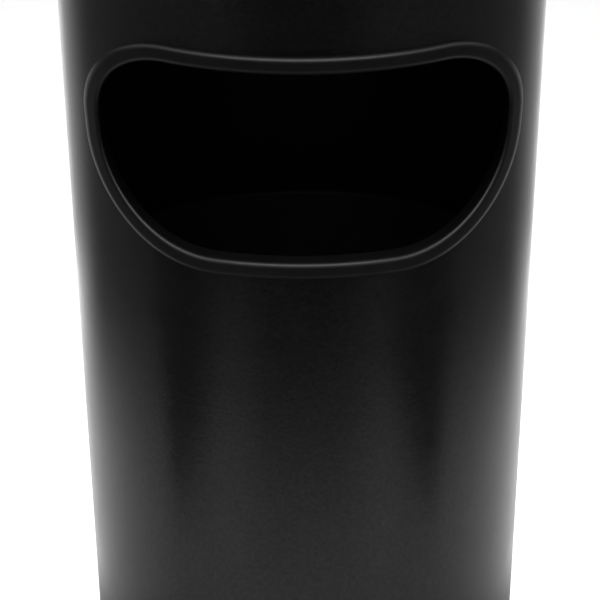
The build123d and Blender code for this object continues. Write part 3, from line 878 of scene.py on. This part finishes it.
def handle_grip():
    """The moulded grip, with finger ribs between its plain ends."""
    bore, radius, half = WIRE_RADIUS + RUNNING_GAP, GRIP_RADIUS, GRIP_HALF_LENGTH
    valley = radius - GRIP_RIB_DEPTH
    outline = [
        (bore, half, 0.4),
        (bore, -half, 0.4),
        (radius - GRIP_END_STEP, -half, 1.5),
        (radius, -half + GRIP_END, 1.5),
    ]
    for i in range(GRIP_RIBS):
        z = GRIP_RIB_PITCH * (i - (GRIP_RIBS - 1) / 2)
        outline.append((radius, z - GRIP_RIB_HALF_TOP, 0.5))
        outline.append((valley, z - GRIP_RIB_HALF_FOOT, 0.5))
        outline.append((valley, z + GRIP_RIB_HALF_FOOT, 0.5))
        outline.append((radius, z + GRIP_RIB_HALF_TOP, 0.5))
    outline.append((radius, half - GRIP_END, 1.5))
    outline.append((radius - GRIP_END_STEP, half, 1.5))
    mesh = turned(rounded(outline, 3), 40)
    place = STORED_HANDLE @ Matrix.Translation((0, BAIL_REACH, 0)) @ Matrix.Rotation(math.pi / 2, 4, "Y")
    bmesh.ops.transform(mesh, matrix=place, verts=mesh.verts)
    stand_for(to_object("ribbed_grip", mesh), "handle_grip")


# --- Head -------------------------------------------------------------------------------------------------
def head_collar():
    """The pressed collar: a skirt, a rounded shoulder and crown, a slope and the bowl's ledge."""
    low, high = box_mm("head_collar")
    radius, top = high.x, high.z
    ledge, under = BOWL_SEAT, top - COLLAR_SHEET
    outline = [
        (radius - COLLAR_SHEET, low.z, 0.8),
        (radius, low.z, 1.0),
        (radius, top, 9.0),
        (COLLAR_CROWN_RADIUS, top, 6.0),
        (BOWL_SEAT_RADIUS, under, 1.0),
        (BOWL_SEAT_RADIUS, ledge, 0.6),
        (BOWL_OPENING_RADIUS, ledge, 1.0),
        (BOWL_OPENING_RADIUS, ledge - COLLAR_SHEET, 0.6),
        (BOWL_SEAT_RADIUS + COLLAR_SHEET, ledge - COLLAR_SHEET, 1.0),
        (BOWL_SEAT_RADIUS + COLLAR_SHEET, under - COLLAR_SHEET, 0.6),
        (COLLAR_CROWN_RADIUS, under, 3.0),
        (radius - COLLAR_SHEET, under, 6.0),
    ]
    lathe("head_collar", "pressed_collar", outline, 240, arc_steps=10)


def locating_ring():
    """The welded T-section ring, with its edges broken."""
    low, high = box_mm("locating_ring")
    flange_low = GASKET_HEIGHT + GASKET_THICKNESS
    outline = [
        (RING_RADIUS - RING_SHEET, low.z, 0.7),
        (RING_RADIUS, low.z, 0.7),
        (RING_RADIUS, flange_low, 0.3),
        (high.x, flange_low, 0.4),
        (high.x, flange_low + RING_SHEET, 0.4),
        (RING_RADIUS, flange_low + RING_SHEET, 1.0),
        (RING_RADIUS, high.z, 0.4),
        (RING_RADIUS - RING_SHEET, high.z, 0.4),
    ]
    lathe("locating_ring", "welded_ring", outline, 180)


def collar_gasket():
    """The gasket, with a groove round its sealing face."""
    low, high = box_mm("collar_gasket")
    inner = RING_RADIUS + REST_GAP
    middle = (inner + high.x) / 2
    outline = [
        (inner, low.z, 0.5),
        (middle - GASKET_GROOVE_HALF_WIDTH, low.z, 0.2),
        (middle, low.z + GASKET_GROOVE, 0.2),
        (middle + GASKET_GROOVE_HALF_WIDTH, low.z, 0.2),
        (high.x, low.z, 0.5),
        (high.x, high.z, 0.4),
        (inner, high.z, 0.4),
    ]
    lathe("collar_gasket", "grooved_gasket", outline, 180)


def ash_bowl():
    """The deep-drawn bowl: a rolled flange, the grid's ledge, a sloped wall and a lightly dished floor."""
    low, high = box_mm("ash_bowl")
    flange = high.z - BOWL_SHEET
    dish = BOWL_FLOOR_RADIUS * BOWL_DISH_SHARE
    outline = [
        (0, low.z + BOWL_DISH),
        (dish, low.z, 20.0),
        (BOWL_FLOOR_RADIUS, low.z, 8.0),
        (BOWL_LEDGE_RADIUS + BOWL_SHEET, BOWL_LEDGE - BOWL_SHEET, 2.0),
        (BOWL_RADIUS + BOWL_SHEET, BOWL_LEDGE - BOWL_SHEET, 2.2),
        (BOWL_RADIUS + BOWL_SHEET, flange, 0.8),
        (high.x, flange, 0.5),
        (high.x, high.z, 0.5),
        (BOWL_RADIUS, high.z, 1.6),
        (BOWL_RADIUS, BOWL_LEDGE, 1.0),
        (BOWL_LEDGE_RADIUS, BOWL_LEDGE, 1.6),
        (BOWL_FLOOR_RADIUS - BOWL_SHEET, low.z + BOWL_SHEET, 7.0),
        (dish, low.z + BOWL_SHEET, 20.0),
        (0, low.z + BOWL_SHEET + BOWL_DISH),
    ]
    lathe("ash_bowl", "drawn_bowl", outline, 200)


def stubber_ring():
    """The cast stubber, its ridges rounded over."""
    low, high = box_mm("stubber_ring")
    inner, outer = STUBBER_INNER_RADIUS, high.x
    valley, pitch = high.z - STUBBER_RIDGE, (outer - inner) / STUBBER_RIDGES
    outline = [(inner, low.z), (outer, low.z, 0.6), (outer, valley, 0.5)]
    for i in range(STUBBER_RIDGES):
        crest = outer - (i + 0.5) * pitch
        outline.append((crest, high.z + STUBBER_RIDGE_ROUNDED_OFF, 0.7))
        outline.append((crest - pitch / 2, valley, 0.5))
    lathe("stubber_ring", "cast_ridges", outline, 120, arc_steps=5, sharp=60.0)


def grid_knob():
    """The turned knob, with flutes round its head for the fingers."""
    low, high = box_mm("grid_knob")
    bore, head, foot = STUD_RADIUS + FIT_GAP, high.z - KNOB_HEAD, low.z + KNOB_FOOT
    ceiling = high.z - KNOB_TOP_OVER_STUD

    def flutes(radius, z, angle):
        if z <= head - 1.5:
            return radius
        grip = max(0.0, min(1.0, (radius - 7.0) / 3.0))
        return radius - KNOB_FLUTE * grip * max(0.0, math.cos(KNOB_FLUTES * angle)) ** 2

    outline = [
        (bore, low.z),
        (KNOB_RADIUS, low.z, 0.5),
        (KNOB_RADIUS, foot, 0.8),
        (KNOB_NECK_RADIUS, foot + 2.0, 1.5),
        (KNOB_NECK_RADIUS, head - KNOB_FLARE, 2.0),
        (KNOB_RADIUS, head, 0.8),
        (KNOB_RADIUS, high.z, 3.0),
        (KNOB_CENTRE_RADIUS, high.z, 0.6),
        (KNOB_CENTRE_RADIUS - 0.6, high.z - KNOB_CENTRE, 0.4),
        (0, high.z - KNOB_CENTRE),
        (0, ceiling),
        (bore, ceiling),
    ]
    lathe("grid_knob", "fluted_knob", outline, 144, flutes)


def knob_stud():
    """The threaded stud: a helical groove all the way down, and a chamfered end."""
    low, high = box_mm("knob_stud")
    start, length = low.z + THREAD_RUN_OUT, high.z - low.z - 2 * THREAD_RUN_OUT
    rows = int((high.z - low.z) * 8)

    def thread(radius, z, angle):
        if radius < STUD_RADIUS - 0.1:
            return radius
        phase = ((z - low.z) / THREAD_PITCH - angle / (2 * math.pi)) % 1.0
        return radius - THREAD_DEPTH * (1 - abs(2 * phase - 1))

    tip = STUD_RADIUS - THREAD_CHAMFER
    outline = [(0, low.z), (tip, low.z)]
    outline += [(STUD_RADIUS, start + length * i / rows) for i in range(rows + 1)]
    outline += [(tip, high.z), (0, high.z)]
    stand_for(to_object("threaded_stud", turned(outline, 36, thread), 50.0), "knob_stud")


outer_shell()
aperture_trim()
rear_seam()
foot_ring()
base_rivets()
liner_pads()
liner_wall()
liner_base()
ear_rivets("right", 0)
ear_rivets("left", 180)
bail_handle()
handle_grip()
head_collar()
locating_ring()
collar_gasket()
ash_bowl()
stubber_ring()
grid_knob()
knob_stud()
for node, name, bevel in (
    ("base_pan", "pressed_pan", 0.3),
    ("liner_guides", "bent_guides", 0.5),
    ("handle_ear_right", "formed_ear_right", 0.4),
    ("handle_ear_left", "formed_ear_left", 0.4),
    ("stub_grid", "punched_grid", 0.3),
    ("knob_nut", "hexagon_nut", 0.4),
):
    stand_for(softened(node, name, bevel), node)

for name, node in frame["nodes"].items():
    node.data.materials.clear()
    node.data.materials.append(FINISHES[SLOT_OF[name]])


# --- Studio -----------------------------------------------------------------------------------------------
STUDIO_SIZE = 24000.0
CARD_HEIGHT = 1.0


def sheet(name, height, material):
    """A square sheet as wide as the studio."""
    half = STUDIO_SIZE / 2
    mesh = bmesh.new()
    corners = [(-half, -half), (half, -half), (half, half), (-half, half)]
    mesh.faces.new([mesh.verts.new((x, y, height)) for x, y in corners])
    piece = to_object(name, mesh)
    piece.data.materials.append(material)
    return piece


def floor():
    f = Finish("pale_floor", Roughness=0.9, Specular_IOR_Level=0.1)
    f.color(f.noise(400.0), (0.9, 0.9, 0.9), (0.92, 0.92, 0.92))
    sheet("studio_floor", 0.0, f.material)


def reflected_studio():
    """What the bin reflects of the studio: a sheet just above the floor that only glossy rays see.

    It glows in a pool round the bin, fades in front, and sweeps far back behind it, as a painted reflection
    of a lit floor. Two soft lobes brighten it in front on both sides, two painted dark patches dim it outside
    them, and painted shade dims it close round the bin's foot.
    """
    f = Finish("reflected_studio", Roughness=1.0, Specular_IOR_Level=0.0, Emission_Color=(1, 1, 1, 1))
    f.shader.inputs["Base Color"].default_value = (0, 0, 0, 1)
    split = f.add("SeparateXYZ", {"Vector": f.place})
    x, y = f.calc("ABSOLUTE", split.outputs["X"]), split.outputs["Y"]
    radius = f.add("VectorMath", {"Vector": f.place}, operation="LENGTH").outputs["Value"]
    from_middle = f.add("VectorMath", {0: f.place, 1: (0, 0.12, 0)}, operation="DISTANCE").outputs["Value"]
    backwards = f.calc("DIVIDE", y, radius)

    around_it = f.smooth(backwards, 0.68, 1.2, -0.7, 1.0)
    # painted shade: the glow is dimmed close round the bin's foot
    foot = f.smooth(radius, 0.3, 1.0, 0.36, 0.48)
    pool = f.smooth(from_middle, 1.0, 0.0, 0.6, 1.12)
    beyond = f.calc("SUBTRACT", 1.0, pool)

    sweep = f.times(f.smooth(backwards, 0.0, 0.6, 0.45, 1.0), f.smooth(radius, 2.05, 0.95, 1.13, 1.4))
    sweep = f.times(sweep, f.smooth(split.outputs["X"], 1.25, 1.0, -1.0, -0.2))
    straight_behind = f.smooth(backwards, 0.0, 0.7, 0.84, 1.0)
    everywhere = f.smooth(backwards, 0.0, 0.14, -1.0, -0.75)
    spill = f.calc("ADD", f.calc("ADD", sweep, straight_behind), everywhere)

    lobe_depth = f.times(f.smooth(y, 0.0, 1.0, -0.9, -0.6), f.smooth(y, 0.2, 0.0, -0.6, -0.38))
    lobe_width = f.times(f.smooth(x, 0.0, 1.0, 0.15, 0.42), f.smooth(x, 1.0, 0.0, 0.6, 0.85))
    lobes = f.times(lobe_width, lobe_depth)

    # painted shade: two dark patches in the glow dim it outside the lobes
    dark_patch_width = f.times(f.smooth(x, 0.0, 1.0, 0.56, 0.62), f.smooth(x, 1.0, 0.0, 1.2, 1.5))
    dark_patch_depth = f.times(f.smooth(y, 0.0, 1.0, -0.95, -0.83), f.smooth(y, 1.0, 0.0, -0.31, -0.25))
    painted_dark_patches = f.times(dark_patch_width, dark_patch_depth)

    floor_light = f.times(f.times(around_it, foot), f.calc("ADD", pool, f.times(spill, beyond)))
    level = f.times(f.calc("ADD", floor_light, lobes), f.span(painted_dark_patches, 1.0, 0.04, 0.0, 1.0))
    f.tree.links.new(level, f.shader.inputs["Emission Strength"])
    card = sheet("reflected_studio", CARD_HEIGHT, f.material)
    card.visible_camera = False
    card.visible_diffuse = False
    card.visible_transmission = False
    card.visible_shadow = False


def studio_world():
    """White to the camera, a soft dome for shade, and for reflections bright overhead and dark low down."""
    world = bpy.data.worlds.new("studio")
    bpy.context.scene.world = world
    world.use_nodes = True
    tree = world.node_tree
    background = tree.nodes["Background"]
    background.inputs["Color"].default_value = (1, 1, 1, 1)
    path = tree.nodes.new("ShaderNodeLightPath")
    direction = tree.nodes.new("ShaderNodeTexCoord")
    split = tree.nodes.new("ShaderNodeSeparateXYZ")
    tree.links.new(direction.outputs["Generated"], split.inputs[0])

    def mapped(value, low, high, start, end):
        node = tree.nodes.new("ShaderNodeMapRange")
        for socket, number in zip(("From Min", "From Max", "To Min", "To Max"), (start, end, low, high)):
            node.inputs[socket].default_value = number
        tree.links.new(value, node.inputs["Value"])
        return node.outputs["Result"]

    def mixed(factor, a, b):
        node = tree.nodes.new("ShaderNodeMix")
        for name, value in {"Factor_Float": factor, "A_Float": a, "B_Float": b}.items():
            socket = next(s for s in node.inputs if s.identifier == name)
            if isinstance(value, bpy.types.NodeSocket):
                tree.links.new(value, socket)
            else:
                socket.default_value = value
        return node.outputs["Result"]

    shade, backdrop = 0.8, 1.05
    reflected = mapped(split.outputs["Z"], 0.05, 1.6, 0.25, 0.7)
    dome = mixed(path.outputs["Is Glossy Ray"], shade, reflected)
    strength = mixed(path.outputs["Is Camera Ray"], dome, backdrop)
    tree.links.new(strength, background.inputs["Strength"])


def softbox(name, place, aim, width, depth, power, mirrored):
    """An area light that is seen in reflections only, or that lights and casts shade only."""
    light = bpy.data.lights.new(name, "AREA")
    light.shape = "RECTANGLE"
    light.size = width
    light.size_y = depth
    light.energy = power
    piece = bpy.data.objects.new(name, light)
    piece.location = place
    piece.rotation_euler = (Vector(aim) - Vector(place)).to_track_quat("-Z", "Y").to_euler()
    piece.visible_glossy = mirrored
    piece.visible_diffuse = not mirrored
    bpy.context.scene.collection.objects.link(piece)
    return piece


def keep_off(light, slot):
    """The light leaves the pieces of a slot alone."""
    spared = bpy.data.collections.new(light.name + "_spares")
    for piece in bpy.context.scene.objects:
        if piece.type == "MESH" and FINISHES[slot].name in piece.data.materials:
            spared.objects.link(piece)
    light.light_linking.receiver_collection = spared
    for link in spared.collection_objects:
        link.light_linking.link_state = "EXCLUDE"


def camera():
    """The view: 18 degrees down on the front, from 1.6 m, a little aside and rolled."""
    elevation, aside, roll = math.radians(18), math.radians(0.4), math.radians(-0.3)
    distance, lens = 1.6, 153.0
    target = Vector((-0.0022, 0, 0.351))
    level = Vector((-math.sin(aside), -math.cos(aside), 0))
    back = level * math.cos(elevation) + Vector((0, 0, math.sin(elevation)))
    data = bpy.data.cameras.new("photo_view")
    data.lens = lens
    piece = bpy.data.objects.new("photo_view", data)
    aimed = (-back).to_track_quat("-Z", "Y").to_matrix().to_4x4()
    piece.matrix_world = Matrix.Translation(target + back * distance) @ aimed @ Matrix.Rotation(roll, 4, "Z")
    bpy.context.scene.collection.objects.link(piece)
    bpy.context.scene.camera = piece


floor()
reflected_studio()
studio_world()
softbox("overhead", (0, 0.2, 2.4), (0, 0.1, 0), width=1.8, depth=1.8, power=60, mirrored=False)
strip = softbox("strip", (0, -0.75, 2.0), (0, 0, 0.5), width=1.8, depth=0.45, power=29, mirrored=True)
keep_off(strip, "brushed_stainless")
camera()
bpy.context.scene.view_settings.view_transform = "Standard"
